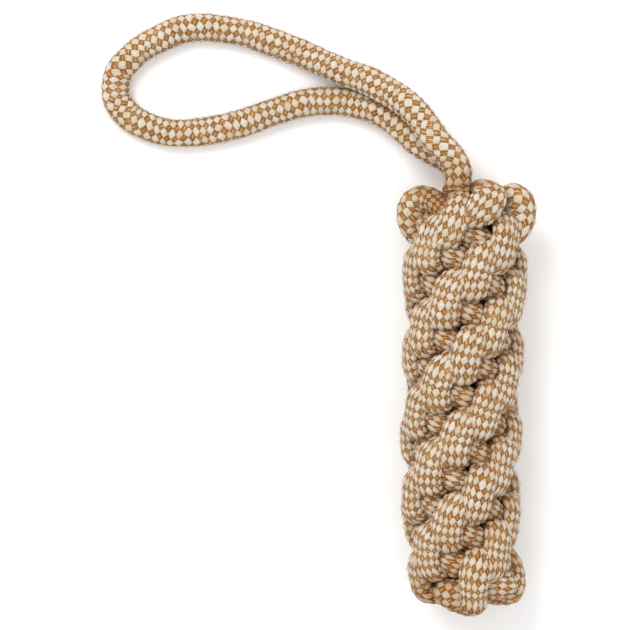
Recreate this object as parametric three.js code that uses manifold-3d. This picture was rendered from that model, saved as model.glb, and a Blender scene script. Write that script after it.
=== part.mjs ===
// Rope dog toy. A stick of four crowned strands, knotted from two ropes,
// with the fold of one rope left free at its top as a swinging handle.
// Millimetres, +Z up. The toy lies on Z = 0, the stick runs along Y with its handle end at +Y.

import * as THREE from 'three';
import { mergeVertices } from 'three/addons/utils/BufferGeometryUtils.js';
import Module from 'manifold-3d';

const wasm = await Module();
wasm.setup();

// The rope

const ropeDiameter = 12;
const endGap = 0.3;
const restCutShare = 0.1;
const ropeColour = 0xcfb58d;

// The handle: how far its fold reaches from the pivot

const handleReach = 150;

// The stick
// A layer is one round of the crown knot. Every strand makes one outer bight in each layer,
// and goes on inside by one chord to its bight in the next layer.

const layerCount = 14;
const strandCount = 4;
const layerPitchShare = 1.008;
const layerPitch = ropeDiameter * layerPitchShare;
const layerTurn = 123;
const firstTurn = 167.3;
const halfTurn = 180;
const quarterTurn = halfTurn / 2;
const strandTurn = (2 * halfTurn) / strandCount;
const stepsPerLayer = 12;
const strandSides = 6;

// One half of a strand's way, from the middle of a bight to just before the middle of the chord.
// Radius from the stick's axis, turn in degrees, fall down the stick, half width, half thickness.
// Lengths are shares of the rope's diameter.

const bightShares = [
  [1.758, 0, 0, 0.362, 0.425],
  [1.742, 3, 0.458, 0.358, 0.417],
  [1.558, 5, 0.775, 0.350, 0.308],
  [1.217, 9, 0.800, 0.317, 0.233],
  [1.000, 22, 0.758, 0.317, 0.229],
];
const chordShares = [0.917, 61.5, 0.504, 0.367, 0.229];

// The first layer is by hand as far as these rows of its bight.

const rowsByHand = 3;

// The first layer is made by hand. Each leg of the handle rope comes down beside the arch
// of the cross rope and turns out to its first bight. The arch ends in the two wide top bights.
// Place across, place down the stick, height over the axis, half width, half thickness, facing.

const upperLegShares = [
  [-0.325, -2.30, 0.515, 0.47, 0.47, 180],
  [-0.34, -2.08, 0.52, 0.46, 0.40, 188],
  [-0.38, -1.92, 0.62, 0.42, 0.32, 210],
  [-0.44, -1.82, 0.98, 0.38, 0.25, 245],
  [-0.48, -1.69, 1.32, 0.38, 0.30, 258],
  [-0.50, -1.38, 1.62, 0.38, 0.38, 257],
  [-0.47, -0.95, 1.72, 0.38, 0.41, 256],
  [-0.47, -0.54, 1.68, 0.36, 0.39, 257],
  [-0.46, -0.22, 1.48, 0.34, 0.30, 260],
];
const lowerLegShares = [
  [-0.325, -2.30, -0.515, 0.47, 0.47, 0],
  [-0.36, -2.05, -0.52, 0.46, 0.42, 8],
  [-0.40, -1.86, -0.62, 0.42, 0.34, 30],
  [-0.40, -1.76, -0.98, 0.38, 0.26, 70],
  [-0.36, -1.66, -1.32, 0.38, 0.30, 92],
  [-0.32, -1.38, -1.64, 0.38, 0.38, 99],
  [-0.22, -0.98, -1.76, 0.38, 0.41, 96],
  [0.02, -0.54, -1.75, 0.37, 0.40, 89],
  [0.26, -0.24, -1.54, 0.35, 0.308, 83],
];
const frontArchShares = [
  [0.55, -1.88, 0, 0.42, 0.34, 90],
  [0.56, -1.88, 0.70, 0.42, 0.34, 93],
  [0.58, -1.80, 1.25, 0.43, 0.35, 100],
  [0.60, -1.55, 1.62, 0.46, 0.36, 110],
  [0.60, -1.22, 1.66, 0.46, 0.36, 111],
  [0.47, -0.99, 1.48, 0.40, 0.32, 112],
  [0.27, -1.03, 1.19, 0.33, 0.24, 115],
  [0, -1.17, 1.00, 0.317, 0.229, 120],
  [-0.60, -1.33, 0.69, 0.34, 0.229, 139],
  [-0.98, -1.58, 0.17, 0.317, 0.229, 157],
  [-1.21, -1.74, -0.06, 0.33, 0.25, 163],
  [-1.70, -1.86, -0.27, 0.35, 0.32, 165],
  [-2.02, -1.58, -0.41, 0.38, 0.40, 166],
  [-2.05, -1.02, -0.46, 0.38, 0.42, 167.3],
  [-1.85, -0.52, -0.53, 0.37, 0.41, 168.7],
  [-1.52, -0.22, -0.49, 0.35, 0.308, 169.6],
];
const backArchShares = [
  [0.55, -1.88, 0, 0.42, 0.34, 90],
  [0.56, -1.91, -0.70, 0.42, 0.34, 86],
  [0.58, -1.93, -1.20, 0.43, 0.33, 80],
  [0.59, -1.74, -1.58, 0.44, 0.32, 72],
  [0.56, -1.52, -1.54, 0.42, 0.26, 71],
  [0.50, -1.39, -1.32, 0.36, 0.22, 72],
  [0.50, -1.31, -1.04, 0.32, 0.22, 82],
  [0.63, -1.26, -0.72, 0.31, 0.225, 98],
  [0.84, -1.22, -0.42, 0.317, 0.229, 120],
  [1.06, -1.25, -0.12, 0.317, 0.229, 140],
  [1.30, -1.44, 0.09, 0.33, 0.25, 152],
  [1.68, -1.84, 0.28, 0.35, 0.32, 161],
  [2.00, -1.60, 0.43, 0.38, 0.40, 165],
  [2.06, -1.02, 0.46, 0.38, 0.42, 167.3],
  [1.86, -0.52, 0.51, 0.37, 0.41, 168.7],
  [1.53, -0.22, 0.49, 0.35, 0.308, 169.6],
];

// The last crossing is loose, at nearly full thickness. The ends stay behind the last bights.

const endShares = [
  [1.742, 3, 0.458, 0.362, 0.417],
  [1.60, 5, 0.88, 0.38, 0.36],
  [1.22, 9, 1.02, 0.36, 0.30],
  [0.94, 24, 1.00, 0.32, 0.28],
  [0.84, 48, 0.93, 0.32, 0.24],
  [0.84, 72, 0.61, 0.32, 0.24],
  [0.92, 94, 0.36, 0.30, 0.24],
  [1.08, 112, 0.25, 0.30, 0.25],
  [1.22, 126, 0.27, 0.29, 0.31],
  [1.31, 136, 0.29, 0.28, 0.33],
];
const endDepthShares = [1, 0.96, 0.94, 0.91];

// The handle's pivot is over the stick's top, between its two legs.

const pivotFallShare = -2.5;

// The two necks bend when the handle swings. Place from the pivot across, away from the stick,
// and height over the stick's axis, in shares of the rope's diameter.

const upperNeckShares = [
  [-0.05, 0.25, 0.505],
  [-0.19, 0.52, 0.47],
  [-0.38, 0.77, 0.42],
  [-0.57, 0.99, 0.38],
];
const lowerNeckShares = [
  [-0.06, 0.23, -0.53],
  [-0.24, 0.46, -0.55],
  [-0.50, 0.66, -0.59],
  [-0.82, 0.81, -0.65],
];

// The fold's way from the upper neck round to the lower one, as it lies on the surface.
// Place from the pivot across and away from the stick in shares of the handle's reach,
// then height over the stick's axis in shares of the rope's diameter.

const onSurfaceShare = -1.683;
const foldShares = [
  [-0.070, 0.109, 0.27],
  [-0.099, 0.153, 0.04],
  [-0.134, 0.193, -0.23],
  [-0.172, 0.225, -0.50],
  [-0.212, 0.251, -0.75],
  [-0.265, 0.278, -1.03],
  [-0.320, 0.298, -1.25],
  [-0.395, 0.330, -1.47],
  [-0.477, 0.365, -1.62],
  [-0.541, 0.391, onSurfaceShare],
  [-0.605, 0.411, onSurfaceShare],
  [-0.672, 0.426, onSurfaceShare],
  [-0.741, 0.434, onSurfaceShare],
  [-0.808, 0.426, onSurfaceShare],
  [-0.866, 0.403, onSurfaceShare],
  [-0.919, 0.374, onSurfaceShare],
  [-0.959, 0.339, onSurfaceShare],
  [-0.991, 0.304, onSurfaceShare],
  [-1.000, 0.266, onSurfaceShare],
  [-0.997, 0.225, onSurfaceShare],
  [-0.977, 0.193, onSurfaceShare],
  [-0.948, 0.164, onSurfaceShare],
  [-0.910, 0.144, onSurfaceShare],
  [-0.863, 0.129, onSurfaceShare],
  [-0.808, 0.124, onSurfaceShare],
  [-0.735, 0.129, onSurfaceShare],
  [-0.663, 0.144, onSurfaceShare],
  [-0.596, 0.164, onSurfaceShare],
  [-0.529, 0.188, onSurfaceShare],
  [-0.480, 0.205, onSurfaceShare],
  [-0.430, 0.214, onSurfaceShare],
  [-0.387, 0.217, onSurfaceShare],
  [-0.343, 0.217, onSurfaceShare],
  [-0.299, 0.209, -1.63],
  [-0.256, 0.196, -1.53],
  [-0.218, 0.179, -1.40],
  [-0.183, 0.158, -1.23],
  [-0.145, 0.126, -1.01],
  [-0.110, 0.092, -0.82],
];
const foldSteps = 48;
const neckSteps = 6;
const foldSides = 10;

// The stick's axis sways a little: layer, and share of the rope's diameter across.

const swayShares = [
  [-2, 0.11],
  [0, 0.06],
  [3, 0],
  [7, -0.11],
  [10.5, -0.10],
  [12, 0.10],
  [13, 0.25],
];

function sway(fall) {
  const layer = fall / layerPitch;
  let low = swayShares[0];
  for (const high of swayShares) {
    if (layer <= high[0]) {
      const span = Math.max(high[0] - low[0], Number.EPSILON);
      const part = Math.min(Math.max((layer - low[0]) / span, 0), 1);
      return (low[1] + (high[1] - low[1]) * part) * ropeDiameter;
    }
    low = high;
  }
  return low[1] * ropeDiameter;
}

// A row of a route is a place, a half width, a half thickness and the facing of its width.

function polarRow(radius, azimuth, fall, halfWidth, halfThickness, facing) {
  const angle = THREE.MathUtils.degToRad(azimuth);
  const across = radius * ropeDiameter * Math.sin(angle) + sway(fall);
  const height = radius * ropeDiameter * Math.cos(angle);
  return {
    place: new THREE.Vector3(across, -fall, height),
    halfWidth: halfWidth * ropeDiameter,
    halfThickness: halfThickness * ropeDiameter,
    facing,
  };
}

function bightAzimuth(strand, layer) {
  return firstTurn + strandTurn * strand - layerTurn * (layer + 1);
}

// The width faces along the surface in a bight and to the axis at a chord's middle.

function facingAt(strand, layer, turn) {
  const turnedBack = halfTurn - layerTurn;
  const start = bightAzimuth(strand, 0) + quarterTurn;
  return start + turnedBack * layer + (turn * turnedBack) / layerTurn;
}

function wholeLayer(strand, layer) {
  const rows = [];
  const start = bightAzimuth(strand, layer);
  const top = layerPitch * layer;
  const back = bightShares.map(([r, t, f, w, k]) => [
    r,
    layerTurn - t,
    layerPitchShare - f,
    w,
    k,
  ]);
  const shares = [...bightShares, chordShares, ...back.reverse().slice(0, -1)];
  for (const [r, t, f, w, k] of shares) {
    const fall = top + f * ropeDiameter;
    rows.push(polarRow(r, start - t, fall, w, k, facingAt(strand, layer, t)));
  }
  return rows;
}

function strandBody(strand) {
  const rows = [];
  for (let layer = -1; layer < layerCount - 2; layer += 1) {
    const layerRows = wholeLayer(strand, layer);
    rows.push(...layerRows.slice(layer < 0 ? rowsByHand : 0));
  }
  const last = layerCount - 2;
  const start = bightAzimuth(strand, last);
  const top = layerPitch * last;
  const [r0, t0, f0, w0, k0] = bightShares[0];
  rows.push(polarRow(r0, start - t0, top + f0, w0, k0, facingAt(strand, last, t0)));
  for (const [r, t, f, w, k] of endShares) {
    const fall = top + f * ropeDiameter * endDepthShares[strand];
    rows.push(polarRow(r, start - t, fall, w, k, facingAt(strand, last, t)));
  }
  return rows;
}

function handRows(shares) {
  return shares.map(([across, fall, height, w, k, facing]) => ({
    place: new THREE.Vector3(
      across * ropeDiameter + sway(fall * ropeDiameter),
      -fall * ropeDiameter,
      height * ropeDiameter,
    ),
    halfWidth: w * ropeDiameter,
    halfThickness: k * ropeDiameter,
    facing,
  }));
}

// A tube of oval section through the rows of a route, closed at both ends

const divisionsPerStep = 20;

function ovalTube(rows, steps) {
  const curve = new THREE.CatmullRomCurve3(rows.map((row) => row.place), false, 'centripetal');
  curve.arcLengthDivisions = steps * divisionsPerStep;
  const slices = [];
  for (let i = 0; i <= steps; i += 1) {
    const t = curve.getUtoTmapping(i / steps);
    const along = t * (rows.length - 1);
    const index = Math.min(Math.floor(along), rows.length - 2);
    const part = along - index;
    const mix = (key) => rows[index][key] * (1 - part) + rows[index + 1][key] * part;
    const centre = curve.getPoint(t);
    const tangent = curve.getTangent(t);
    const facing = THREE.MathUtils.degToRad(mix('facing'));
    const width = new THREE.Vector3(Math.sin(facing), 0, Math.cos(facing));
    width.addScaledVector(tangent, -width.dot(tangent)).normalize();
    const thick = new THREE.Vector3().crossVectors(tangent, width);
    const halfWidth = mix('halfWidth');
    const halfThickness = mix('halfThickness');
    const rim = [];
    for (let j = 0; j < strandSides; j += 1) {
      const angle = (Math.PI * (2 * j + 1)) / strandSides;
      const point = centre.clone();
      point.addScaledVector(width, halfWidth * Math.cos(angle));
      point.addScaledVector(thick, halfThickness * Math.sin(angle));
      rim.push(point);
    }
    slices.push({ centre, tangent, width, thick, halfWidth, halfThickness, rim });
  }
  return slices;
}

function tubeGeometry(slices) {
  const sides = strandSides;
  const steps = slices.length - 1;
  const points = slices.flatMap((slice) => slice.rim);
  points.push(slices[0].centre, slices[steps].centre);
  const faces = [];
  for (let i = 0; i < steps; i += 1) {
    for (let j = 0; j < sides; j += 1) {
      const a = i * sides + j;
      const b = i * sides + ((j + 1) % sides);
      faces.push(a, b, b + sides, a, b + sides, a + sides);
    }
  }
  const first = (steps + 1) * sides;
  const rim = steps * sides;
  for (let j = 0; j < sides; j += 1) {
    const next = (j + 1) % sides;
    faces.push(first, next, j);
    faces.push(first + 1, rim + j, rim + next);
  }
  const geometry = new THREE.BufferGeometry();
  geometry.setFromPoints(points);
  geometry.setIndex(faces);
  return geometry;
}

// The least gap from a tube's surface points to another stretch of the same tube

const apartShare = 1.25;
const nearShare = 1.5;

function leastGap(slices) {
  const step = slices[1].centre.distanceTo(slices[0].centre);
  const apart = Math.ceil((ropeDiameter * apartShare) / step);
  const near = ropeDiameter * nearShare;
  let least = near;
  slices.forEach((slice, i) => {
    slices.forEach((other, j) => {
      if (Math.abs(i - j) < apart || slice.centre.distanceTo(other.centre) > near) {
        return;
      }
      for (const point of slice.rim) {
        const away = point.clone().sub(other.centre);
        if (Math.abs(away.dot(other.tangent)) < step) {
          const u = away.dot(other.width);
          const v = away.dot(other.thick);
          const angle = Math.atan2(v / other.halfThickness, u / other.halfWidth);
          const edgeU = other.halfWidth * Math.cos(angle);
          const edgeV = other.halfThickness * Math.sin(angle);
          least = Math.min(least, Math.hypot(u, v) - Math.hypot(edgeU, edgeV));
        }
      }
    });
  });
  return least;
}

// The four strands

const endsShare = 1.1;
const halfSteps = Math.round(layerCount * stepsPerLayer * endsShare);
const upperRows = [...handRows(upperLegShares), ...strandBody(2)];
const lowerRows = [...handRows(lowerLegShares), ...strandBody(0)];
const backBody = strandBody(3);
for (const row of backBody) {
  row.facing -= halfTurn;
}
const frontRows = [...handRows(frontArchShares), ...strandBody(1)];
const backRows = [...handRows(backArchShares), ...backBody];
const crossRows = [...frontRows.slice(1).reverse(), ...backRows];

const upperSlices = ovalTube(upperRows, halfSteps);
const lowerSlices = ovalTube(lowerRows, halfSteps);
const crossSlices = ovalTube(crossRows, halfSteps * 2);

// The surface that the toy lies on flattens what rests on it.

const blockReaches = 4;
const mergeShare = 1e-5;
const stickRadius = (bightShares[0][0] + bightShares[0][4]) * ropeDiameter;
const surface = restCutShare * ropeDiameter - stickRadius;
const blockSize = handleReach * blockReaches;
const mergeDistance = ropeDiameter * mergeShare;

function solid(geometry) {
  const position = geometry.getAttribute('position');
  const index = geometry.getIndex();
  const mesh = new wasm.Mesh({
    numProp: 3,
    vertProperties: new Float32Array(position.array),
    triVerts: new Uint32Array(index.array),
  });
  return new wasm.Manifold(mesh);
}

function merged(geometry) {
  geometry.deleteAttribute('normal');
  geometry.deleteAttribute('uv');
  return mergeVertices(geometry, mergeDistance);
}

const block = new THREE.BoxGeometry(blockSize, blockSize, blockSize);
block.translate(0, 0, surface - blockSize / 2);
const under = solid(merged(block));

function rested(geometry) {
  const { numProp, vertProperties, triVerts } = solid(geometry).subtract(under).getMesh();
  const result = new THREE.BufferGeometry();
  result.setAttribute('position', new THREE.BufferAttribute(vertProperties, numProp));
  result.setIndex(new THREE.BufferAttribute(triVerts, 1));
  return result;
}

// The handle's necks and fold, round tubes along their routes

const pivotFall = pivotFallShare * ropeDiameter;
const pivot = new THREE.Vector3(
  upperLegShares[0][0] * ropeDiameter + sway(pivotFall),
  -pivotFall,
  0,
);

function neckPoint([across, away, height]) {
  return new THREE.Vector3(across, away, height).multiplyScalar(ropeDiameter).add(pivot);
}

function foldPoint([across, away, height]) {
  const x = pivot.x + across * handleReach;
  const y = pivot.y + away * handleReach;
  return new THREE.Vector3(x, y, height * ropeDiameter);
}

function roundTube(points, steps) {
  const curve = new THREE.CatmullRomCurve3(points, false, 'centripetal');
  const section = new THREE.Shape();
  for (let j = 0; j < foldSides; j += 1) {
    const angle = (Math.PI * (2 * j + 1)) / foldSides;
    const u = (ropeDiameter / 2) * Math.cos(angle);
    const v = (ropeDiameter / 2) * Math.sin(angle);
    if (j === 0) {
      section.moveTo(u, v);
    } else {
      section.lineTo(u, v);
    }
  }
  section.closePath();
  const geometry = new THREE.ExtrudeGeometry(section, {
    steps,
    bevelEnabled: false,
    extrudePath: curve,
  });
  console.log('length of this stretch', curve.getLength().toFixed(1));
  return merged(geometry);
}

// Each stretch leaves the one before it square to its end, past a small gap.

const squareRunShare = 0.18;
const squareRun = ropeDiameter * squareRunShare;

function leave(end, direction) {
  const start = end.clone().addScaledVector(direction, endGap);
  return [start, end.clone().addScaledVector(direction, endGap + squareRun)];
}

function neckRoute(slices, shares) {
  const up = slices[0].tangent.clone().negate();
  return [...leave(slices[0].centre, up), ...shares.map(neckPoint)];
}

function endOf(route) {
  const curve = new THREE.CatmullRomCurve3(route, false, 'centripetal');
  return leave(curve.getPoint(1), curve.getTangent(1));
}

const upperNeckRoute = neckRoute(upperSlices, upperNeckShares);
const lowerNeckRoute = neckRoute(lowerSlices, lowerNeckShares);
const foldRoute = [
  ...endOf(upperNeckRoute),
  ...foldShares.map(foldPoint),
  ...endOf(lowerNeckRoute).reverse(),
];

// Assembly, with the middle of its box over the origin

const group = new THREE.Group();

function add(name, geometry) {
  const material = new THREE.MeshStandardMaterial({
    color: ropeColour,
    roughness: 0.95,
    metalness: 0,
  });
  geometry.computeVertexNormals();
  const mesh = new THREE.Mesh(geometry, material);
  mesh.name = name;
  group.add(mesh);
}

add('handle_strand_upper', rested(tubeGeometry(upperSlices)));
add('handle_strand_lower', rested(tubeGeometry(lowerSlices)));
add('cross_rope', rested(tubeGeometry(crossSlices)));
add('neck_upper', roundTube(upperNeckRoute, neckSteps));
add('neck_lower', roundTube(lowerNeckRoute, neckSteps));
add('handle_loop', rested(roundTube(foldRoute, foldSteps)));

console.log('least gap of the upper strand', leastGap(upperSlices).toFixed(2));
console.log('least gap of the lower strand', leastGap(lowerSlices).toFixed(2));
console.log('least gap of the cross rope', leastGap(crossSlices).toFixed(2));

const box = new THREE.Box3().setFromObject(group);
const middle = box.getCenter(new THREE.Vector3());
group.position.set(-middle.x, -middle.y, -surface);
console.log('pivot across', (pivot.x - middle.x).toFixed(2));
console.log('pivot away', (pivot.y - middle.y).toFixed(2));

export default group;
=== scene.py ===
# %% [markdown]
# # A knotted rope toy
# The real toy is made of two pieces of braided cotton rope. They are crowned round each
# other into a thick stick, and the fold of one of them is left free as a handle.
# The solids of the frame show the way that each rope takes. This lesson follows them with
# real braided rope: first the camera and the free rope of the handle, then the four
# strands of the stick, the colours of the yarns, the loose fibres, the floor and the light.

# %% Load the frame
import math

import bpy
import numpy as np
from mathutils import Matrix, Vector


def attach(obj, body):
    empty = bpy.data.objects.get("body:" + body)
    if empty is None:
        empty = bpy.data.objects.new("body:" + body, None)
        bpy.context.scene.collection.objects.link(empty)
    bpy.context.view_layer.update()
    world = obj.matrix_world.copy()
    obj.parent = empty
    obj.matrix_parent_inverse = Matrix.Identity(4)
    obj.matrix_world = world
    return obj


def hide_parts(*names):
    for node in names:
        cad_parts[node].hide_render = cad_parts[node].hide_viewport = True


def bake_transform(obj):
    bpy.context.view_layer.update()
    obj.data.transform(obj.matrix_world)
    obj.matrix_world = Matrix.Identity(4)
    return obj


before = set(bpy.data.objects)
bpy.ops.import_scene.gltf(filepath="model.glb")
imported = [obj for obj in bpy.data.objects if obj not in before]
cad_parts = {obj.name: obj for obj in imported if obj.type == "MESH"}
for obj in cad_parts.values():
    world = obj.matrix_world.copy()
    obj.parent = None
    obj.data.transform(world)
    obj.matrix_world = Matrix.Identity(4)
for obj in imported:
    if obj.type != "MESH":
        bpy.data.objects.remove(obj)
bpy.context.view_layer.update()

# %% [markdown]
# ## The camera
# The toy is seen from straight above, as on a copying stand. A long lens from three metres
# keeps the stick and the handle in almost the same scale, which a short lens would not.
# The frame is square, so one number says how much of the floor it shows.

# %% Point the camera straight down
VIEW_CENTRE = (-0.00112, -0.00136)
VIEW_WIDTH = 0.2749
AXIS_HEIGHT = 0.025
CAMERA_HEIGHT = 3.0
SENSOR_MM = 36.0

camera_data = bpy.data.cameras.new("stand_camera")
camera_data.sensor_fit = "HORIZONTAL"
camera_data.sensor_width = SENSOR_MM
camera_data.lens = SENSOR_MM * (CAMERA_HEIGHT - AXIS_HEIGHT) / VIEW_WIDTH
camera_data.clip_end = 20.0
camera = bpy.data.objects.new("stand_camera", camera_data)
bpy.context.collection.objects.link(camera)
camera.location = (*VIEW_CENTRE, CAMERA_HEIGHT)
bpy.context.scene.camera = camera
print("lens", round(camera_data.lens), "mm")

# %% [markdown]
# ## The rope's sizes
# Most sizes are shares of the rope's diameter. The braid has sixteen carriers: eight cream
# ones wind one way round and eight tan ones the other way, each over one and under one.
# So there are eight columns of cream cells round the rope, with tan cells between them.

# %% Name the sizes of the rope
ROPE = 0.012
COLUMNS = 8
LOOP_CELL = 0.0035
NECK_CELL = 0.0042
STRAND_CELL = 0.0043
RING_STEP = 0.00065
ROWS_PER_CELL = 6
POINTS_ROUND = 48

# %% [markdown]
# ## A smooth way through a few points
# A rope has no corners. A centripetal spline goes through every point that it is given and
# never loops between them, which a plain spline does where points lie close together.
# Each row holds a place, a half width, a half thickness and the facing of the width, and
# the spline carries all of them, so the rope's section changes as smoothly as its way.

# %% Carry rows along a centripetal spline
FINE = 32


def through(rows):
    """Rows between the given ones, and where each given row is among them."""
    rows = np.asarray(rows, float)
    padded = np.vstack([2 * rows[0] - rows[1], rows, 2 * rows[-1] - rows[-2]])
    gaps = np.linalg.norm(np.diff(padded[:, :3], axis=0), axis=1) ** 0.5
    part = np.linspace(0, 1, FINE, endpoint=False)[:, None]
    pieces = []
    for i in range(1, len(padded) - 2):
        before, low, high, after = padded[i - 1 : i + 3]
        g0, g1, g2 = gaps[i - 1 : i + 2]
        leave = ((low - before) / g0 - (high - before) / (g0 + g1) + (high - low) / g1) * g1
        reach = ((high - low) / g1 - (after - low) / (g1 + g2) + (after - high) / g2) * g1
        square = -3 * low + 3 * high - 2 * leave - reach
        cube = 2 * low - 2 * high + leave + reach
        pieces.append(low + leave * part + square * part**2 + cube * part**3)
    return np.vstack([*pieces, rows[-1:]])


def arc(points):
    """The length from the first point to each point."""
    steps = np.linalg.norm(np.diff(points[:, :3], axis=0), axis=1)
    return np.concatenate([[0], np.cumsum(steps)])


def evenly(fine, count):
    """The same way again, as count equal steps."""
    along = arc(fine)
    at = np.linspace(0, along[-1], count + 1)
    return np.column_stack([np.interp(at, along, column) for column in fine.T])


# %% [markdown]
# ## The way of a strand down the stick
# In every layer a strand makes one outer bight, dives in, crosses the stick's middle beside
# its three neighbours as a chord, and comes out again 123 degrees further round.
# Four strands do the same a quarter turn apart, so one table makes them all.
# The way follows the frame's solids, but not point for point. Real rope presses against its
# neighbours, which solids in a frame may not do, so the sections here are wider. The bights
# are flatter and their middle lines lie one or two millimetres further out, which leaves
# their outer faces near those of the solids. The chords lie about three further out. A few
# shares of the radius then make the stick stouter or slimmer where the photograph does.

# %% Name the stick's sizes and the rows of one layer
LAYERS = 14
LAYER_PITCH = 1.008
LAYER_TURN = 123
FIRST_BIGHT_TURN = 167.3
STRAND_TURN = 90
QUARTER_TURN = 90
HALF_TURN = 180

# radius, turn, fall down the stick, half width, half thickness
BIGHT_FOOT = [
    (1.865, 0, 0, 0.575, 0.330),
    (1.850, 3, 0.450, 0.580, 0.330),
    (1.700, 5, 0.790, 0.570, 0.320),
    (1.360, 8, 0.890, 0.550, 0.300),
    (1.120, 20, 0.780, 0.550, 0.365),
]
CHORD_ROW = (1.180, 61.5, 0.504, 0.610, 0.490)
BIGHT_HEAD = [
    (1.870, 4, 0.420, 0.560, 0.325),
    (1.720, 10, 0.740, 0.530, 0.310),
    (1.400, 19, 0.900, 0.510, 0.300),
    (1.180, 32, 0.790, 0.550, 0.380),
]

# layer, and how far the stick's axis sways across
SWAY = [(-2, 0.11), (0, 0.06), (3, 0), (7, -0.11), (10.5, -0.10), (12, 0.10), (13, 0.25)]
# fall, and share of the radius: stoutest at the second round, slimmer at the lower end
STICK_SPREAD = [(-0.9, 1.0), (0.9, 1.055), (2.4, 1.015), (3.2, 1.0)]
STICK_SPREAD += [(9.4, 1.0), (10.6, 0.955), (13, 0.95)]
STICK_TOP = (0.06387, 0.02995, 0.024996)

# %% Lay one strand through all layers


def sway(fall):
    """How far the axis is across, at a fall down the stick."""
    layer, across = zip(*SWAY)
    return np.interp(fall / LAYER_PITCH, layer, across)


def polar_row(radius, azimuth, fall, half_width, half_thickness, facing):
    """One row of a strand, from its place round the stick's axis."""
    angle = math.radians(azimuth)
    radius = radius * np.interp(fall, *zip(*STICK_SPREAD))
    across = radius * math.sin(angle) + sway(fall)
    return (across, -fall, radius * math.cos(angle), half_width, half_thickness, facing)


def bight_azimuth(strand, layer):
    return FIRST_BIGHT_TURN + STRAND_TURN * strand - LAYER_TURN * (layer + 1)


def facing_at(strand, layer, turn):
    """The width lies along the surface in a bight and points at the axis in a chord."""
    turned_back = HALF_TURN - LAYER_TURN
    start = bight_azimuth(strand, 0) + QUARTER_TURN
    return start + turned_back * layer + turn * turned_back / LAYER_TURN


def strand_row(strand, layer, radius, turn, fall, half_width, half_thickness):
    """One row of a strand, from its turn and fall within a layer."""
    azimuth = bight_azimuth(strand, layer) - turn
    facing = facing_at(strand, layer, turn)
    depth = LAYER_PITCH * layer + fall
    return polar_row(radius, azimuth, depth, half_width, half_thickness, facing)


def whole_layer(strand, layer):
    """The foot of one bight, the chord, and the head of the next bight."""
    head = [(r, LAYER_TURN - t, LAYER_PITCH - f, w, k) for r, t, f, w, k in BIGHT_HEAD]
    return [strand_row(strand, layer, *row) for row in [*BIGHT_FOOT, CHORD_ROW, *head[::-1]]]


print("rows in a layer", len(whole_layer(0, 0)))

# %% [markdown]
# ## The ends of the strands
# The first and last rounds of a crown knot differ from the rest. At the top the two legs of
# the handle come down and turn straight out to their first bights, and the cross rope makes
# an arch beside them that ends in the two wide top bights. At the bottom the last crossing
# is loose and thick, and the four cut ends are tucked behind the last bights.

# %% Shape the first and last rounds
# across, fall, height over the axis, half width, half thickness, facing
UPPER_LEG = [
    (-0.325, -2.30, 0.515, 0.47, 0.47, 180),
    (-0.33, -2.00, 0.50, 0.48, 0.44, 184),
    (-0.33, -1.72, 0.56, 0.48, 0.40, 200),
    (-0.28, -1.48, 0.90, 0.46, 0.40, 225),
    (-0.22, -1.44, 1.30, 0.46, 0.42, 240),
    (-0.28, -1.28, 1.62, 0.50, 0.39, 247),
    (-0.42, -0.92, 1.80, 0.54, 0.35, 250),
    (-0.63, -0.48, 1.78, 0.54, 0.34, 250),
    (-0.80, -0.10, 1.60, 0.53, 0.33, 252),
    (-0.87, 0.05, 1.30, 0.52, 0.31, 255),
]
LOWER_LEG = [
    (-0.325, -2.30, -0.515, 0.47, 0.47, 0),
    (-0.36, -2.05, -0.52, 0.48, 0.44, 8),
    (-0.40, -1.86, -0.62, 0.47, 0.40, 30),
    (-0.40, -1.76, -0.98, 0.46, 0.34, 70),
    (-0.36, -1.66, -1.32, 0.46, 0.36, 92),
    (-0.32, -1.38, -1.64, 0.47, 0.42, 99),
    (-0.22, -0.98, -1.76, 0.49, 0.43, 96),
    (0.02, -0.54, -1.75, 0.49, 0.41, 89),
    (0.26, -0.24, -1.54, 0.49, 0.36, 83),
]
FRONT_ARCH = [
    (0.62, -1.84, 0, 0.47, 0.42, 90),
    (0.70, -1.87, 0.65, 0.50, 0.41, 96),
    (0.80, -1.80, 1.18, 0.56, 0.38, 104),
    (0.76, -1.54, 1.60, 0.62, 0.35, 112),
    (0.54, -1.18, 1.78, 0.62, 0.34, 112),
    (0.26, -0.90, 1.72, 0.58, 0.33, 108),
    (0.08, -0.82, 1.38, 0.54, 0.32, 108),
    (-0.08, -0.94, 1.05, 0.50, 0.31, 120),
    (-0.60, -1.12, 0.74, 0.48, 0.34, 139),
    (-0.98, -1.34, 0.34, 0.47, 0.44, 157),
    (-1.24, -1.52, 0.04, 0.47, 0.48, 163),
    (-1.62, -1.62, -0.18, 0.48, 0.50, 165),
    (-1.84, -1.42, -0.30, 0.49, 0.58, 166),
    (-1.90, -1.00, -0.40, 0.50, 0.60, 167.3),
    (-1.78, -0.52, -0.50, 0.50, 0.54, 168.7),
    (-1.52, -0.22, -0.49, 0.49, 0.40, 169.6),
]
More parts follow.
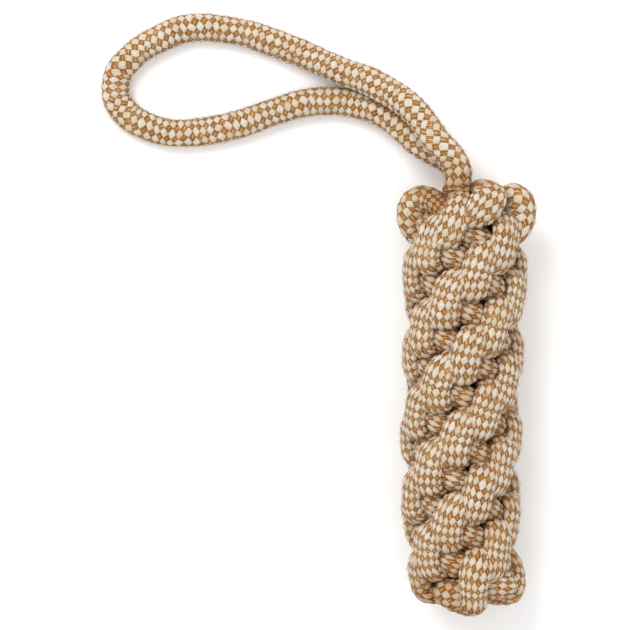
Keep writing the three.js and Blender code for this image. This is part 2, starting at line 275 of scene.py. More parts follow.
BACK_ARCH = [
    (0.55, -1.88, 0, 0.47, 0.42, 90),
    (0.56, -1.91, -0.70, 0.48, 0.41, 86),
    (0.58, -1.93, -1.20, 0.49, 0.38, 80),
    (0.59, -1.74, -1.58, 0.49, 0.36, 72),
    (0.56, -1.52, -1.54, 0.48, 0.32, 71),
    (0.50, -1.39, -1.32, 0.46, 0.29, 72),
    (0.50, -1.31, -1.04, 0.44, 0.29, 82),
    (0.63, -1.26, -0.72, 0.44, 0.29, 98),
    (0.84, -1.22, -0.42, 0.46, 0.29, 120),
    (1.06, -1.25, -0.12, 0.47, 0.29, 140),
    (1.28, -1.52, 0.12, 0.47, 0.40, 152),
    (1.62, -1.68, 0.30, 0.47, 0.50, 161),
    (1.86, -1.46, 0.43, 0.49, 0.58, 165),
    (1.92, -1.00, 0.46, 0.50, 0.58, 167.3),
    (1.80, -0.52, 0.51, 0.50, 0.52, 168.7),
    (1.53, -0.22, 0.49, 0.49, 0.40, 169.6),
]
# radius, turn, fall, half width, half thickness
END_ROWS = [
    (1.742, 3, 0.458, 0.495, 0.43),
    (1.60, 5, 0.88, 0.49, 0.42),
    (1.22, 9, 1.02, 0.48, 0.38),
    (0.94, 24, 1.00, 0.46, 0.36),
    (0.84, 48, 0.93, 0.46, 0.34),
    (0.88, 72, 0.70, 0.46, 0.34),
]
# Towards the tucked ends a strand runs round the stick, and its width points at the axis:
# behind the left lobe, beside the middle bight, in the right window
HIDDEN_TUCK = [
    (0.92, 90, 0.42, 0.36, 0.44),
    (1.10, 108, 0.34, 0.38, 0.44),
    (1.25, 124, 0.30, 0.40, 0.44),
    (1.20, 138, 0.34, 0.38, 0.40),
]
LEFT_TUCK = [
    (1.05, 88, 0.54, 0.38, 0.48),
    (1.26, 104, 0.60, 0.42, 0.50),
    (1.38, 120, 0.64, 0.44, 0.52),
    (1.36, 136, 0.60, 0.44, 0.50),
    (1.22, 152, 0.54, 0.40, 0.46),
]
RIGHT_TUCK = [
    (1.05, 88, 0.36, 0.38, 0.46),
    (1.32, 104, 0.31, 0.42, 0.48),
    (1.52, 120, 0.28, 0.42, 0.50),
    (1.58, 135, 0.30, 0.42, 0.50),
    (1.45, 150, 0.32, 0.40, 0.46),
    (1.25, 164, 0.34, 0.36, 0.40),
]
TUCKS = (HIDDEN_TUCK, LEFT_TUCK, RIGHT_TUCK, HIDDEN_TUCK)
# Share of the fall of those end rows that each strand makes
END_DEPTH = (1, 0.66, 0.75, 0.62)
# How much lower the first chord hangs, at its start, in its middle and near its far end
FIRST_CHORD_DROPS = ((), (), (), (0.18, 0.34, 0.40))

# %% Put each strand together


def by_hand(table):
    """Rows of a first round, moved by the stick's sway."""
    return [(x + sway(fall), -fall, z, w, k, facing) for x, fall, z, w, k, facing in table]


def strand_body(strand):
    """A strand from its first chord to its cut end."""
    rows = whole_layer(strand, -1)[len(BIGHT_FOOT) - 1 :]
    for k, drop in enumerate(FIRST_CHORD_DROPS[strand]):
        x, y, *rest = rows[k]
        rows[k] = (x, y - drop, *rest)
    for layer in range(LAYERS - 2):
        rows += whole_layer(strand, layer)
    last = LAYERS - 2
    for r, t, f, w, k in [BIGHT_FOOT[0], *END_ROWS]:
        rows.append(strand_row(strand, last, r, t, f * END_DEPTH[strand], w, k))
    half_way, start = CHORD_ROW[1], bight_azimuth(strand, last)
    for r, t, f, w, k in TUCKS[strand]:
        facing = facing_at(strand, last, half_way) + half_way - t
        rows.append(polar_row(r, start - t, LAYER_PITCH * last + f, w, k, facing))
    return rows


def placed(rows):
    """Rows in metres, in the frame, with the facing in radians."""
    rows = np.asarray(rows, float)
    rows[:, :5] *= ROPE
    rows[:, :3] += STICK_TOP
    rows[:, 5] = np.radians(rows[:, 5])
    return rows


upper_rows = placed(by_hand(UPPER_LEG) + strand_body(2))
lower_rows = placed(by_hand(LOWER_LEG) + strand_body(0))
turned_over = [(*row[:5], row[5] - HALF_TURN) for row in strand_body(3)]
front_rows = by_hand(FRONT_ARCH) + strand_body(1)
back_rows = by_hand(BACK_ARCH) + turned_over
cross_rows = placed(front_rows[:0:-1] + back_rows)
for name, rows in (("upper", upper_rows), ("lower", lower_rows), ("cross", cross_rows)):
    print(name, "strand:", round(arc(through(rows))[-1], 3), "m of rope")

# %% [markdown]
# ## Frames along a rope
# To turn a line into a rope, every point of it needs two directions across it.
# In the stick they come from the facing of the row. The free rope has no facing, so its
# frame is carried from point to point with the least turn, and what is missing at the far
# end is spread evenly, as a rope that is held at both ends spreads its twist.

# %% Find the directions across a rope


def unit(vectors):
    return vectors / np.linalg.norm(vectors, axis=-1, keepdims=True)


def tangents(points):
    return unit(np.gradient(points, axis=0))


def across_from(ways, facing):
    """Width and thickness directions of a strand in the stick."""
    width = np.column_stack([np.sin(facing), 0 * facing, np.cos(facing)])
    width = unit(width - ways * np.sum(width * ways, axis=1, keepdims=True))
    return width, np.cross(ways, width)


def carried(ways, first, last):
    """Width directions carried along, ending on one of the braid's eight like positions."""
    width = [unit(first - ways[0] * first.dot(ways[0]))]
    for way in ways[1:]:
        width.append(unit(width[-1] - way * width[-1].dot(way)))
    width = np.array(width)
    thick = np.cross(ways, width)
    missing = math.atan2(last.dot(thick[-1]), last.dot(width[-1]))
    eighth = 2 * math.pi / COLUMNS
    missing -= eighth * round(missing / eighth)
    turn = (np.linspace(0, 1, len(ways)) * missing)[:, None]
    return (
        width * np.cos(turn) + thick * np.sin(turn),
        thick * np.cos(turn) - width * np.sin(turn),
        missing,
    )


# %% [markdown]
# ## The braid's relief
# A smooth tube with a pattern painted on it would look printed. On the real rope every cell
# is a bundle of yarns that bulges where it passes over and sinks where it passes under.
# Each carrier is a low ridge with a flattened back that goes up and down like a wave. The higher of the
# two ridges at a point is the one that is seen there, so the largest of both waves is the
# shape of the surface. Cream carriers are plump, tan ones lie flatter.

# %% Shape the surface of the braid
CREAM_WAVE = 0.00036
CREAM_ROUND = 0.00048
TAN_WAVE = 0.00022
TAN_ROUND = 0.00017
MEAN_RELIEF = 0.00042
UNEVEN = 0.3
LUMP = 0.00012
LUMP_PACE, FINE_LUMP_PACE = 0.83, 0.47
# A higher power makes the back of a carrier flatter and its edges steeper
BACK_POWER = 4.0
# Any odd numbers do here, as long as neighbouring cells come out unlike each other
TOSS_ROUND, TOSS_ALONG, TOSS_SPREAD = 12.9898, 78.233, 43758.5453


def toss(i, k):
    """A number from 0 to 1 that looks random, the same each time for one cell."""
    return np.modf(np.abs(np.sin(i * TOSS_ROUND + k * TOSS_ALONG) * TOSS_SPREAD))[0]


def lumps(around, along):
    """Slow swellings of the rope, where the yarns inside it lie unevenly."""
    turn = 2 * math.pi * around / COLUMNS
    return LUMP * (np.sin(turn + LUMP_PACE * along) + np.sin(2 * turn - FINE_LUMP_PACE * along))


def back(off):
    """The flattened back of a carrier, from 0 at its edge to 1 in its middle."""
    return np.sqrt(np.maximum(1 - (2 * off) ** BACK_POWER, 0))


def relief(around, along):
    """Height of the surface in metres, at braid places counted in cells."""
    a, b = around - along, around + along
    i, j = np.round(a), np.round(b)
    plump = 1 + UNEVEN * (2 * toss(i % COLUMNS, np.round((b - i) / 2)) - 1)
    cream = CREAM_WAVE * np.cos(np.pi * (b - i))
    cream += CREAM_ROUND * plump * back(a - i)
    tan = -TAN_WAVE * np.cos(np.pi * (a - j))
    tan += TAN_ROUND * back(b - j)
    return np.maximum(cream, tan)


# %% [markdown]
# ## A braid is never quite even
# Cells differ in size, and columns wander a little. A few slow waves round and along the
# rope move the braid's own coordinates. They close on themselves round the rope, so there
# is no seam, and the relief and the colours both follow them.

# %% Shake the braid a little
# turns round the rope, pace along it and strength of each wave
SHAKES = [(1, 0.61, 0.09), (2, -0.93, 0.06), (3, 1.71, 0.035), (0, 1.27, 0.06), (2, 2.57, 0.025)]
SHAKES += [(3, -2.13, 0.025), (1, 3.31, 0.02)]
ACROSS_PHASE, ALONG_PHASE, ALONG_START = 1.9, 2.3, 1.0


def shaken(around, along):
    """Braid places moved by a few waves. Each has turns round, pace along and strength."""
    across_shift, along_shift = 0, 0
    for k, (turns, pace, strength) in enumerate(SHAKES):
        phase = turns * 2 * math.pi * around / COLUMNS + pace * along
        across_shift = across_shift + strength * np.sin(phase + ACROSS_PHASE * k)
        along_shift = along_shift + strength * np.sin(phase + ALONG_PHASE * k + ALONG_START)
    return around + across_shift, along + along_shift


# %% [markdown]
# ## From a line to a braided rope
# The mesh is a grid: rings of points round the rope, joined to the next ring. About six rings
# and six points to a cell are enough to make each cell round. The grid also carries the braid's
# own coordinates, columns round and cells along, so the colours fall exactly on the relief.

# %% Build the mesh of a braided rope
# Each step of Newton's method brings the angles closer to an even spread in the braid
SOLVING_STEPS = 12
# The place along the braid that the cut ends take their colour from
CAP_ALONG = 0.5


def gathered(gather, lean):
    """Angles round the rope of points that are even in the braid, for each ring.

    The columns bunch on a flat side by the gather, and on a narrow side by the lean."""
    even = np.arange(POINTS_ROUND)[None, :] * 2 * math.pi / POINTS_ROUND
    gather, lean = gather[:, None], lean[:, None]
    turn = even + gather * np.cos(even) - lean * np.sin(even)
    for _ in range(SOLVING_STEPS):
        miss = turn - gather * np.cos(turn) + lean * np.sin(turn) - even
        turn = turn - miss / (1 + gather * np.sin(turn) + lean * np.cos(turn))
    return turn


def braided(name, points, width, thick, half_width, half_thickness, cells, gather, lean):
    """A closed braided rope along points. cells is the braid's count at each point."""
    steps = len(points) - 1
    turn = gathered(gather, lean)
    cos, sin = np.cos(turn)[..., None], np.sin(turn)[..., None]
    hw, ht = half_width[:, None, None], half_thickness[:, None, None]
    out = unit(width[:, None] * cos / hw + thick[:, None] * sin / ht)
    around = np.arange(POINTS_ROUND) * COLUMNS / POINTS_ROUND
    around, along = shaken(around[None, :], cells[:, None])
    raised = relief(around, along) + lumps(around, along) - MEAN_RELIEF
    skin = points[:, None] + width[:, None] * cos * hw + thick[:, None] * sin * ht
    skin = skin + out * raised[:, :, None]
    skin[..., 2] = np.maximum(skin[..., 2], 0)
    vertices = np.vstack([skin.reshape(-1, 3), points[:1], points[-1:]])
    i, j = np.meshgrid(np.arange(steps), np.arange(POINTS_ROUND), indexing="ij")
    after = (j + 1) % POINTS_ROUND
    rings = i * POINTS_ROUND
    below = rings + POINTS_ROUND
    quads = np.stack([rings + j, rings + after, below + after, below + j], -1).reshape(-1, 4)
    near = np.arange(POINTS_ROUND)
    nexts = (near + 1) % POINTS_ROUND
    first, rim = len(vertices) - 2, steps * POINTS_ROUND
    caps = [(first, b, a) for a, b in zip(near.tolist(), nexts.tolist())]
    caps += [(first + 1, rim + a, rim + b) for a, b in zip(near.tolist(), nexts.tolist())]
    mesh = bpy.data.meshes.new(name)
    mesh.from_pydata(vertices.tolist(), [], quads.tolist() + caps)
    around = np.hstack([around, around[:, :1] + COLUMNS])
    along = np.hstack([along, along[:, :1]])
    u = np.stack([around[i, j], around[i, j + 1], around[i + 1, j + 1], around[i + 1, j]], -1)
    v = np.stack([along[i, j], along[i, j + 1], along[i + 1, j + 1], along[i + 1, j]], -1)
    flat = np.zeros((len(caps) * 3, 2))
    flat[:, 1] = CAP_ALONG
    uv = mesh.uv_layers.new(name="braid")
    grid = np.stack([u.reshape(-1), v.reshape(-1)], -1)
    uv.data.foreach_set("uv", np.vstack([grid, flat]).astype(np.float32).reshape(-1))
    mesh.polygons.foreach_set("use_smooth", np.ones(len(mesh.polygons), bool))
    mesh.update()
    rope = bpy.data.objects.new(name, mesh)
    bpy.context.collection.objects.link(rope)
    return rope, skin, out


# %% [markdown]
# ## The free rope of the handle
# This is the fold of the first rope, the only part that can swing. It leaves the top of
# the stick beside itself, one leg over the other, runs up and over to the left, turns round
# and comes back, lying on the floor for most of its way. Its length is what the photograph
# shows from end to end, with guessed heights beside the stick. The points are those of the
# frame's solids, from the pivot.

# %% Lay the handle's rope
PIVOT = (0.06129, 0.05995, 0.025)
REACH = 0.150
ON_FLOOR = -1.683

# across, away from the stick and height over the axis, in rope diameters
UPPER_NECK = [(-0.05, 0.25, 0.505), (-0.19, 0.52, 0.47), (-0.38, 0.77, 0.42), (-0.57, 0.99, 0.38)]
LOWER_NECK = [(-0.06, 0.23, -0.53), (-0.24, 0.46, -0.55), (-0.50, 0.66, -0.59), (-0.82, 0.81, -0.65)]
# across and away in shares of the reach, height in rope diameters
FOLD = [
    (-0.070, 0.109, 0.27),
    (-0.099, 0.153, 0.04),
    (-0.134, 0.193, -0.23),
    (-0.172, 0.225, -0.50),
    (-0.212, 0.251, -0.75),
    (-0.265, 0.278, -1.03),
    (-0.320, 0.298, -1.25),
    (-0.395, 0.330, -1.47),
    (-0.477, 0.365, -1.62),
    (-0.541, 0.391, ON_FLOOR),
    (-0.605, 0.411, ON_FLOOR),
    (-0.672, 0.426, ON_FLOOR),
    (-0.741, 0.434, ON_FLOOR),
    (-0.808, 0.426, ON_FLOOR),
    (-0.866, 0.403, ON_FLOOR),
    (-0.919, 0.374, ON_FLOOR),
    (-0.959, 0.339, ON_FLOOR),
    (-0.991, 0.304, ON_FLOOR),
    (-1.000, 0.266, ON_FLOOR),
    (-0.997, 0.225, ON_FLOOR),
    (-0.977, 0.193, ON_FLOOR),
    (-0.948, 0.164, ON_FLOOR),
    (-0.910, 0.144, ON_FLOOR),
    (-0.863, 0.129, ON_FLOOR),
    (-0.808, 0.124, ON_FLOOR),
    (-0.735, 0.129, ON_FLOOR),
    (-0.663, 0.144, ON_FLOOR),
    (-0.596, 0.164, ON_FLOOR),
    (-0.529, 0.188, ON_FLOOR),
    (-0.480, 0.205, ON_FLOOR),
    (-0.430, 0.214, ON_FLOOR),
    (-0.387, 0.217, ON_FLOOR),
    (-0.343, 0.217, ON_FLOOR),
    (-0.299, 0.209, -1.63),
    (-0.256, 0.196, -1.53),
    (-0.218, 0.179, -1.40),
    (-0.183, 0.158, -1.23),
    (-0.145, 0.126, -1.01),
    (-0.110, 0.092, -0.82),
]


def from_pivot(point):
    x, y, z = point
    return (PIVOT[0] + x * ROPE, PIVOT[1] + y * ROPE, STICK_TOP[2] + z * ROPE)


def on_fold(point):
    x, y, z = point
    return (PIVOT[0] + x * REACH, PIVOT[1] + y * REACH, STICK_TOP[2] + z * ROPE)


SQUARE_RUN = 0.18 * ROPE
INTO_KNOT = 0.45 * ROPE


def into_knot(rows):
    """The first points of a leg, from its end inwards, and how far it starts outside."""
    fine = through(rows)[:, :3]
    inside = fine[arc(fine) <= INTO_KNOT]
    return inside, fine[0] + unit(fine[0] - fine[1]) * SQUARE_RUN


upper_inside, upper_leave = into_knot(upper_rows)
lower_inside, lower_leave = into_knot(lower_rows)
handle_points = [from_pivot(p) for p in UPPER_NECK] + [on_fold(p) for p in FOLD]
handle_points += [from_pivot(p) for p in LOWER_NECK[::-1]]
handle_points = [upper_inside[0], upper_leave, *handle_points, lower_leave, lower_inside[0]]
handle_line = np.vstack([upper_inside[:0:-1], through(handle_points), lower_inside[1:]])
handle_length = arc(handle_line)[-1]
handle_rows = round(handle_length / LOOP_CELL) * ROWS_PER_CELL
print("handle:", round(handle_length, 4), "m of free rope")

# %% Braid the handle's rope
# The braid is pulled longer near the stick than in the loop.
NECK_REACH = 0.09
SWELL_RUN = 2 * ROPE
UP = np.array([0, 0, 1.0])


def eased(share):
    """A share from 0 to 1 with a gentle start and end."""
    return share * share * (3 - 2 * share)


handle_line = evenly(handle_line, handle_rows)
handle_ways = tangents(handle_line)
width, thick, twist = carried(handle_ways, -UP, UP)
leg_half = upper_rows[0, 3]
free_half = ROPE / 2
from_end = np.minimum(arc(handle_line), arc(handle_line)[-1] - arc(handle_line))
half = leg_half + (free_half - leg_half) * eased(np.clip(from_end / SWELL_RUN, 0, 1))
pitch = LOOP_CELL + (NECK_CELL - LOOP_CELL) * eased(np.clip(1 - from_end / NECK_REACH, 0, 1))
cells = np.cumsum(handle_length / handle_rows / pitch) - LOOP_CELL / NECK_CELL / ROWS_PER_CELL
cells *= round(cells[-1]) / cells[-1]
handle_rope, handle_skin, handle_out = braided(
    "handle_rope", handle_line, width, thick, half, half, cells, 0 * cells, 0 * cells
)
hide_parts("neck_upper", "neck_lower", "handle_loop")
print(round(cells[-1]), "cells, twist", round(math.degrees(twist), 1), "degrees")

# %% [markdown]
# ## The four strands of the stick
# Each strand is braided along its own way. The cross rope is one rope from end to end,
# so it is one piece, and it makes two of the four strands.

# %% Braid the strands
# Least and most that a strand's outer side counts against its middle line, and the rings
# on either side that the share is averaged over
LEAST_SHARE, MOST_SHARE = 0.8, 1.7
SOFTEN = 9
# On a wide flat side the cells would look too wide from outside, so the columns gather
# there. The gather sets in over the first stretch of a strand.
GATHER = 0.75
GATHER_FROM = 3 * ROPE
# The two top lobes stand free, so their columns gather less: past a reach, above a fall
LOBE_SHARE, LOBE_REACH, LOBE_FALL, LOBE_BLEND = 0.4, 1.35, 0.4, 0.4


def seen_length(line, width, thick):
    """The length of a strand as its outermost side shows it, from its start to each point."""
    axis = np.column_stack([[STICK_TOP[0]] * len(line), line[:, 1], [STICK_TOP[2]] * len(line)])
    out = unit(line[:, :3] - axis)
    reach = np.hypot(
        np.sum(out * width, axis=1) * line[:, 3], np.sum(out * thick, axis=1) * line[:, 4]
    )
    side = line[:, :3] + out * reach[:, None]
    share = np.linalg.norm(np.diff(side, axis=0), axis=1) / np.linalg.norm(
        np.diff(line[:, :3], axis=0), axis=1
    )
    share = np.clip(share, LEAST_SHARE, MOST_SHARE)
    share = np.convolve(np.pad(share, SOFTEN, mode="edge"), np.ones(2 * SOFTEN + 1), "valid")
    step = arc(line)[1] / (2 * SOFTEN + 1)
    return np.concatenate([[0], np.cumsum(share * step)])


def gather_towards_outside(line, width, thick):
    """How the columns gather on the side of a strand that faces out of the stick."""
    fall = (STICK_TOP[1] - line[:, 1]) / ROPE
    across = line[:, 0] - STICK_TOP[0] - sway(fall) * ROPE
    away = unit(np.column_stack([across, 0 * across, line[:, 2] - STICK_TOP[2]]))
    wide = np.clip((np.abs(across) / ROPE - LOBE_REACH) / LOBE_BLEND, 0, 1)
    high = np.clip((LOBE_FALL - fall) / LOBE_BLEND, 0, 1)
    strength = GATHER * (1 - (1 - LOBE_SHARE) * wide * high)
    strength = strength * np.clip(arc(line) / GATHER_FROM, 0, 1)
    return strength * np.sum(away * thick, axis=1), strength * np.sum(away * width, axis=1)


strands = []
for name, rows, node in (
    ("strand_upper", upper_rows, "handle_strand_upper"),
    ("strand_lower", lower_rows, "handle_strand_lower"),
    ("strands_crossing", cross_rows, "cross_rope"),
):
    fine = through(rows)
    if name != "strands_crossing":
        fine = fine[arc(fine) >= INTO_KNOT - RING_STEP]
    line = evenly(fine, round(arc(fine)[-1] / RING_STEP))
    width, thick = across_from(tangents(line[:, :3]), line[:, 5])
    seen = seen_length(line, width, thick)
    count = round(seen[-1] / STRAND_CELL)
    cells = seen * count / seen[-1]
    sizes = (line[:, 3], line[:, 4], cells, *gather_towards_outside(line, width, thick))
    strand, skin, out = braided(name, line[:, :3], width, thick, *sizes)
    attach(strand, "stick")
    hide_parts(node)
    strands.append((strand, skin, out))
    print(name, count, "cells,", len(strand.data.vertices), "points")

# %% [markdown]
# ## Cotton yarn, cream and tan
# The colours are worked out from the same two waves as the relief, so the edge between a
# cream cell and a tan one is sharp and lies in the groove. Each carrier is a few yarns side
# by side, which show as fine stripes along it. Every cell is a little lighter or darker than
# its neighbours. Shade is painted into the colour: dark brown in the grooves between cells,
# darker lines between yarns, warmer and darker cream and tan where a cell sinks at its edges,
# and browner colour deep inside the knot.

# %% Helpers for a material made of sums
# A colour mix node has its factor and its two colours in these places
MIX_FACTOR, MIX_FIRST, MIX_SECOND, MIX_RESULT = 0, 6, 7, 2


def fill(tree, socket, value):
    """A socket takes a fixed value or another node's output."""
    if isinstance(value, (int, float, tuple)):
        socket.default_value = value
    else:
        tree.links.new(value, socket)


def calc(tree, operation, *values, clamp=False):
    """One sum node. Each value is a number or another node's output."""
    node = tree.nodes.new("ShaderNodeMath")
    node.operation = operation
    node.use_clamp = clamp
    for socket, value in zip(node.inputs, values):
        fill(tree, socket, value)
    return node.outputs[0]


def blended(tree, factor, first, second, kind="MIX"):
    """One colour mix node. Each colour is a tuple or another node's output."""
    node = tree.nodes.new("ShaderNodeMix")
    node.data_type = "RGBA"
    node.blend_type = kind
    fill(tree, node.inputs[MIX_FACTOR], factor)
    fill(tree, node.inputs[MIX_FIRST], first)
    fill(tree, node.inputs[MIX_SECOND], second)
    return node.outputs[MIX_RESULT]


def together(tree, x, y, z=0.0):
    """A vector from three numbers."""
    node = tree.nodes.new("ShaderNodeCombineXYZ")
    for socket, value in zip(node.inputs, (x, y, z)):
        fill(tree, socket, value)
    return node.outputs[0]


def speckle(tree, vector, scale, detail=2.0):
    """Soft noise from 0 to 1 at a place."""
    node = tree.nodes.new("ShaderNodeTexNoise")
    node.inputs["Scale"].default_value = scale
    node.inputs["Detail"].default_value = detail
    tree.links.new(vector, node.inputs["Vector"])
    return node.outputs["Fac"]


def chance(tree, vector):
    """One number from 0 to 1 for each place."""
    node = tree.nodes.new("ShaderNodeTexWhiteNoise")
    tree.links.new(vector, node.inputs["Vector"])
    return node.outputs["Value"]


def ramped(tree, value, low, high, to_low=0.0, to_high=1.0):
    """A value eased from one range to another."""
    node = tree.nodes.new("ShaderNodeMapRange")
    node.interpolation_type = "SMOOTHSTEP"
    tree.links.new(value, node.inputs["Value"])
    limits = {"From Min": low, "From Max": high, "To Min": to_low, "To Max": to_high}
    for name, number in limits.items():
        node.inputs[name].default_value = number
    return node.outputs["Result"]


# %% Make the material of the rope
CREAM = (0.628, 0.594, 0.545, 1.0)
# CREAM_WARM is cream's painted shade at sunk edges and between yarns, and also the tone of its darker
# cells and yarns
CREAM_WARM = (0.50, 0.375, 0.215, 1.0)
TAN_PALE = (0.74, 0.52, 0.265, 1.0)
TAN = (0.62, 0.355, 0.120, 1.0)
# TAN_DEEP is painted shade in the grooves, at sunk edges and between yarns, and also the tone of darker
# tan cells and yarns
TAN_DEEP = (0.180, 0.056, 0.007, 1.0)
INSIDE_SHADE = (0.70, 0.50, 0.31, 1.0)
CREAM_YARNS = 3
TAN_YARNS = 3
# Each ramp: from, to, and where it isn't 0 to 1, what it gives at either end.
# All heights of the relief are in millimetres here.
CREAM_OVER_TAN = (-0.09, 0.02)
# Painted shade: the groove between a cream cell and a tan one is coloured dark brown
GROOVE_SHADE = (0.0, 0.30, 1.0, 0.0)
RAGGED_EDGE = (0.3, 0.7, -0.13, 0.10)
# The painted groove shade is made patchy
PATCHY_GROOVE_SHADE = (0.35, 0.65, 0.72, 1.0)
# Painted shade: cream turns warmer and darker where its cell sinks at the edges, leaving its raised
# middle lightest
CREAM_EDGE_SHADE = (0.20, 0.72, 0.75, 0.0)
CREAM_BY_CELL = (0.75, 0.0, 0.0, 0.34)
CREAM_BY_STREAK = (0.40, 0.72, 0.0, 0.42)
# Painted shade: tan turns deep brown where its ridge sinks
TAN_EDGE_SHADE = (0.02, 0.34, 0.42, 0.0)
TAN_BY_CELL = (0.3, 1.0, 0.0, 0.22)
TAN_BY_STREAK = (0.45, 0.70, 0.0, 0.38)
PALE_YARN = (0.50, 0.05)
# Painted shade deep inside the knot: full near the axis, gone at its outside, and only in the stick
DEEP_INSIDE = (1.2 * ROPE, 2.2 * ROPE, 1.0, 0.0)
IN_THE_STICK = (PIVOT[1] - ROPE, PIVOT[1] + ROPE, 1.0, 0.0)
ROUGH = (0.3, 0.8, 0.78, 0.95)
# How much a whole cream cell, the lines between yarns and single yarns count. The lines between yarns
# are painted shade.
STOUT_CELL = 0.14
CREAM_LINE, CREAM_YARN = 0.28, 0.16
TAN_LINE, TAN_YARN = 0.85, 0.22
LINE_POWER = 1.2
TAN_LINE_BUMP = 1.3
BUMP_STRENGTH, BUMP_DEPTH = 0.8, 0.00016
# Scale of each noise, across and along the two sets of carriers
RAGGED_SCALE = 7.0
CREAM_STREAK = (16.0, 2.5)
TAN_STREAK = (2.5, 18.0)
PATCH_SCALE = 0.35
# Where these noises are cut from, so that they don't repeat each other
RAGGED_CUT, TAN_CUT, PATCH_CUT = 3.0, 7.0, 11.0
YARN_APART = 5.0

cotton = bpy.data.materials.new("braided_cotton")
cotton.use_nodes = True
tree = cotton.node_tree
shader = tree.nodes["Principled BSDF"]
braid = tree.nodes.new("ShaderNodeUVMap")
braid.uv_map = "braid"
split = tree.nodes.new("ShaderNodeSeparateXYZ")
tree.links.new(braid.outputs[0], split.inputs[0])
around, along = split.outputs[0], split.outputs[1]
a, b = calc(tree, "SUBTRACT", around, along), calc(tree, "ADD", around, along)
i, j = calc(tree, "ROUND", a), calc(tree, "ROUND", b)
off_a, off_b = calc(tree, "SUBTRACT", a, i), calc(tree, "SUBTRACT", b, j)


def product(first, second):
    return calc(tree, "MULTIPLY", first, second)


def total(*values):
    """The sum of a few values, kept between 0 and 1."""
    result = values[0]
    for value in values[1:]:
        result = calc(tree, "ADD", result, value)
    return calc(tree, "MINIMUM", calc(tree, "MAXIMUM", result, 0.0), 1.0)


def ridge(off):
    """The flattened back of a carrier, as in the mesh."""
    steep = calc(tree, "POWER", calc(tree, "ABSOLUTE", product(off, 2.0)), BACK_POWER)
    return calc(tree, "SQRT", calc(tree, "MAXIMUM", calc(tree, "SUBTRACT", 1.0, steep), 0.0))


def wave(place, carrier):
    """Up where a carrier passes over, down where it passes under."""
    return calc(tree, "COSINE", product(calc(tree, "SUBTRACT", place, carrier), math.pi))


def in_cell(place, carrier):
    """The number of a cell along its carrier."""
    return calc(tree, "ROUND", product(calc(tree, "SUBTRACT", place, carrier), 0.5))


MM = 1000
cream_wave = product(wave(b, i), CREAM_WAVE * MM)
cream_height = calc(tree, "ADD", cream_wave, product(ridge(off_a), CREAM_ROUND * MM))
tan_wave = product(wave(a, j), -TAN_WAVE * MM)
tan_height = calc(tree, "ADD", tan_wave, product(ridge(off_b), TAN_ROUND * MM))
ragged_place = together(tree, product(a, RAGGED_SCALE), product(b, RAGGED_SCALE), RAGGED_CUT)
ragged = ramped(tree, speckle(tree, ragged_place, 1.0), *RAGGED_EDGE)
cream_cell = chance(tree, together(tree, i, in_cell(b, i)))
stout = calc(tree, "ADD", ragged, product(calc(tree, "SUBTRACT", cream_cell, 0.5), STOUT_CELL))
lead = calc(tree, "SUBTRACT", calc(tree, "ADD", cream_height, stout), tan_height)
is_cream = ramped(tree, lead, *CREAM_OVER_TAN)
groove = ramped(tree, calc(tree, "ABSOLUTE", lead), *GROOVE_SHADE)


def yarns(off, count):
    """The place across a carrier counted in yarns, and the line between two yarns, where shade is
    painted dark.
    """
    place = product(calc(tree, "ADD", off, 0.5), float(count))
    rounded = calc(tree, "ABSOLUTE", calc(tree, "SINE", product(place, math.pi)))
    line = calc(tree, "POWER", calc(tree, "SUBTRACT", 1.0, rounded), LINE_POWER)
    return calc(tree, "FLOOR", place), line


cream_yarn, cream_line = yarns(off_a, CREAM_YARNS)
tan_yarn, tan_line = yarns(off_b, TAN_YARNS)


def streaks(scales):
    """Long thin noise along one set of carriers."""
    return speckle(tree, together(tree, product(a, scales[0]), product(b, scales[1])), 1.0)


cream_streaks = streaks(CREAM_STREAK)
tan_streaks = streaks(TAN_STREAK)
tan_cell = chance(tree, together(tree, j, in_cell(a, j), TAN_CUT))
one_cream_yarn = chance(tree, together(tree, product(i, YARN_APART), in_cell(b, i), cream_yarn))
one_tan_yarn = chance(tree, together(tree, product(j, YARN_APART), in_cell(a, j), tan_yarn))

# Painted shade at sunk edges and between yarns, mixed with the darker tone of some cells, yarns and
# streaks
cream_shade_and_tone = total(
    ramped(tree, cream_height, *CREAM_EDGE_SHADE),
    product(cream_line, CREAM_LINE),
    product(one_cream_yarn, CREAM_YARN),
    ramped(tree, cream_cell, *CREAM_BY_CELL),
    ramped(tree, cream_streaks, *CREAM_BY_STREAK),
)
tan_shade_and_tone = total(
    ramped(tree, tan_height, *TAN_EDGE_SHADE),
    product(tan_line, TAN_LINE),
    product(one_tan_yarn, TAN_YARN),
    ramped(tree, tan_cell, *TAN_BY_CELL),
    ramped(tree, tan_streaks, *TAN_BY_STREAK),
)
pale_yarns = ramped(tree, one_tan_yarn, *PALE_YARN)
cream_colour = blended(tree, cream_shade_and_tone, CREAM, CREAM_WARM)
tan_colour = blended(tree, pale_yarns, TAN, TAN_PALE)
tan_colour = blended(tree, tan_shade_and_tone, tan_colour, TAN_DEEP)
colour = blended(tree, is_cream, tan_colour, cream_colour)
# Painted shade: the grooves are coloured dark brown, in patches
patch_place = together(tree, product(a, PATCH_SCALE), product(b, PATCH_SCALE), PATCH_CUT)
patchy = speckle(tree, patch_place, 1.0)
groove = product(groove, ramped(tree, patchy, *PATCHY_GROOVE_SHADE))
colour = blended(tree, groove, colour, TAN_DEEP)

